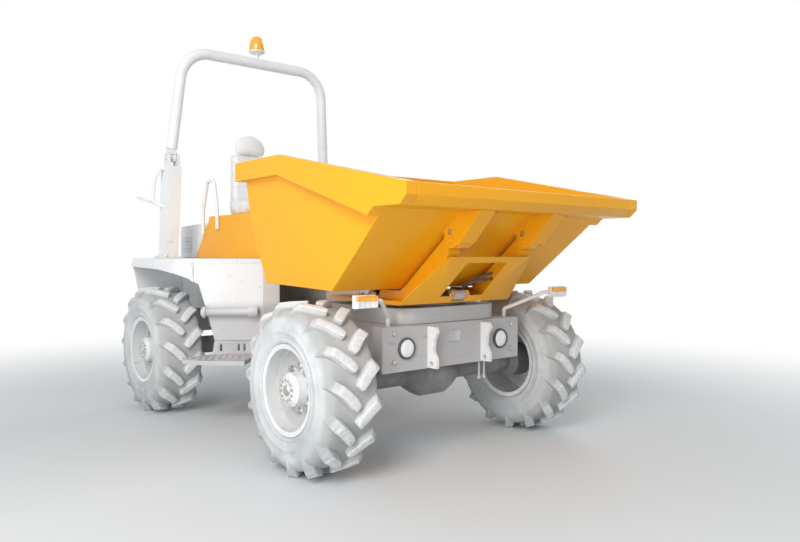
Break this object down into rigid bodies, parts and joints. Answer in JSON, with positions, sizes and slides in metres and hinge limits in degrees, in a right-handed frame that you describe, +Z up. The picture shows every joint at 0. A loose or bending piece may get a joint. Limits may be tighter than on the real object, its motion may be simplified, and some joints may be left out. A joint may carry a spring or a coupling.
{
  "type": "site dumper",
  "caption": "Articulated site dumper with a swivelling, tipping skip, big lugged tyres, an open driving seat, a folding roll bar and a lifting rear bonnet.",
  "frame": {"origin": "on the ground under the middle of the machine's box", "axes": "-Y forward, +Z up, +X to the machine's left side"},
  "size_m": [2.358, 4.2, 3.4819],
  "materials": {
    "tyre": "dusty moulded rubber",
    "wheel_paint": "satin, dusty",
    "yellow_paint": "satin enamel, worn at edges",
    "light_paint": "satin enamel",
    "grey_paint": "matt enamel, dusty",
    "dark_steel": "rough",
    "ram_steel": "smooth",
    "rod_chrome": "polished",
    "lamp_lens": "ribbed clear lens",
    "amber_lens": "ribbed amber lens",
    "red_lens": "ribbed red lens",
    "seat_vinyl": "grained pale vinyl",
    "black_plastic": "fine grain"
  },
  "bodies": {
    "front_body": {"front_chassis": "grey_paint", "front_plate": "grey_paint", "head_lamps": "lamp_lens", "indicator_arms": "light_paint", "indicators": "amber_lens", "hanging_pins": "ram_steel", "slew_ring": "grey_paint", "front_axle": "dark_steel"},
    "wheel_front_left": {"tyre_front_left": "tyre", "rim_front_left": "wheel_paint"},
    "wheel_front_right": {"tyre_front_right": "tyre", "rim_front_right": "wheel_paint"},
    "wheel_rear_left": {"tyre_rear_left": "tyre", "rim_rear_left": "wheel_paint"},
    "wheel_rear_right": {"tyre_rear_right": "tyre", "rim_rear_right": "wheel_paint"},
    "swivel_body": {"swivel_frame": "yellow_paint"},
    "skip_body": {"skip_floor": "yellow_paint", "skip_back": "yellow_paint", "skip_lip": "yellow_paint", "skip_side_left": "yellow_paint", "skip_side_right": "yellow_paint", "skip_ribs": "yellow_paint"},
    "tip_barrel_body": {"tip_barrel": "grey_paint"},
    "tip_rod_body": {"tip_rod": "rod_chrome"},
    "steer_barrel_body": {"steer_barrel": "grey_paint"},
    "steer_rod_body": {"steer_rod": "rod_chrome"},
    "rear_body": {"rear_chassis": "grey_paint", "tail_weight": "grey_paint", "rear_axle": "dark_steel", "engine": "dark_steel", "fender_left": "light_paint", "fender_right": "light_paint", "tank_left": "light_paint", "tank_right": "light_paint", "step_left": "grey_paint", "step_right": "grey_paint", "lock_bar": "light_paint", "console": "yellow_paint", "engine_cover": "light_paint", "chair_base": "light_paint", "chair_cushion": "seat_vinyl", "chair_back": "seat_vinyl", "chair_headrest": "seat_vinyl", "steering_column": "black_plastic", "steering_wheel": "black_plastic", "grab_handles": "light_paint", "roll_legs": "light_paint", "roll_latches": "light_paint", "tail_lamps": "red_lens"},
    "hoop_body": {"roll_hoop": "light_paint", "beacon": "amber_lens"},
    "bonnet_body": {"bonnet": "light_paint"}
  },
  "joints": [
    {"name": "steer", "type": "hinge", "parent": "front_body", "child": "rear_body", "pos_m": [0, 0.06, 0.72], "axis": [0, 0, 1], "range_deg": [-33, 33]},
    {"name": "wheel_front_left_spin", "type": "hinge", "parent": "front_body", "child": "wheel_front_left", "pos_m": [0.983, -1.09, 0.54], "axis": [1, 0, 0], "continuous": true},
    {"name": "wheel_front_right_spin", "type": "hinge", "parent": "front_body", "child": "wheel_front_right", "pos_m": [-0.983, -1.09, 0.54], "axis": [1, 0, 0], "continuous": true},
    {"name": "wheel_rear_left_spin", "type": "hinge", "parent": "rear_body", "child": "wheel_rear_left", "pos_m": [0.983, 1.34, 0.54], "axis": [1, 0, 0], "continuous": true},
    {"name": "wheel_rear_right_spin", "type": "hinge", "parent": "rear_body", "child": "wheel_rear_right", "pos_m": [-0.983, 1.34, 0.54], "axis": [1, 0, 0], "continuous": true},
    {"name": "swivel", "type": "hinge", "parent": "front_body", "child": "swivel_body", "pos_m": [0, -0.89, 1.0443], "axis": [0, 0, 1], "range_deg": [-90, 90]},
    {"name": "tip", "type": "hinge", "parent": "swivel_body", "child": "skip_body", "pos_m": [0, -1.74, 1.462], "axis": [1, 0, 0], "range_deg": [0, 75]},
    {"name": "tip_ram_swing", "type": "hinge", "parent": "swivel_body", "child": "tip_barrel_body", "pos_m": [0, -1.39, 1.094], "axis": [1, 0, 0], "range_deg": [0, 78]},
    {"name": "tip_ram_stroke", "type": "slide", "parent": "tip_barrel_body", "child": "tip_rod_body", "axis": [0, 1, 0], "range_m": [0, 0.62]},
    {"name": "steer_ram_swing", "type": "hinge", "parent": "front_body", "child": "steer_barrel_body", "pos_m": [0.3, -0.33, 0.605], "axis": [0, 0, 1], "range_deg": [-13, 13]},
    {"name": "steer_ram_stroke", "type": "slide", "parent": "steer_barrel_body", "child": "steer_rod_body", "axis": [0, 1, 0], "range_m": [-0.172, 0.172]},
    {"name": "roll_bar_fold", "type": "hinge", "parent": "rear_body", "child": "hoop_body", "pos_m": [0, 1.487, 2.25], "axis": [-1, 0, 0], "range_deg": [0, 110]},
    {"name": "bonnet_lift", "type": "hinge", "parent": "rear_body", "child": "bonnet_body", "pos_m": [0, 1.706, 1.65], "axis": [1, 0, 0], "range_deg": [0, 70]}
  ],
  "couplings": [
    {"joint": "tip_ram_swing", "follows": "tip", "ratio": 1.034},
    {"joint": "tip_ram_stroke", "follows": "tip", "m_per_rad": 0.471},
    {"joint": "steer_ram_swing", "follows": "steer", "ratio": 0.379},
    {"joint": "steer_ram_stroke", "follows": "steer", "m_per_rad": 0.2952}
  ]
}
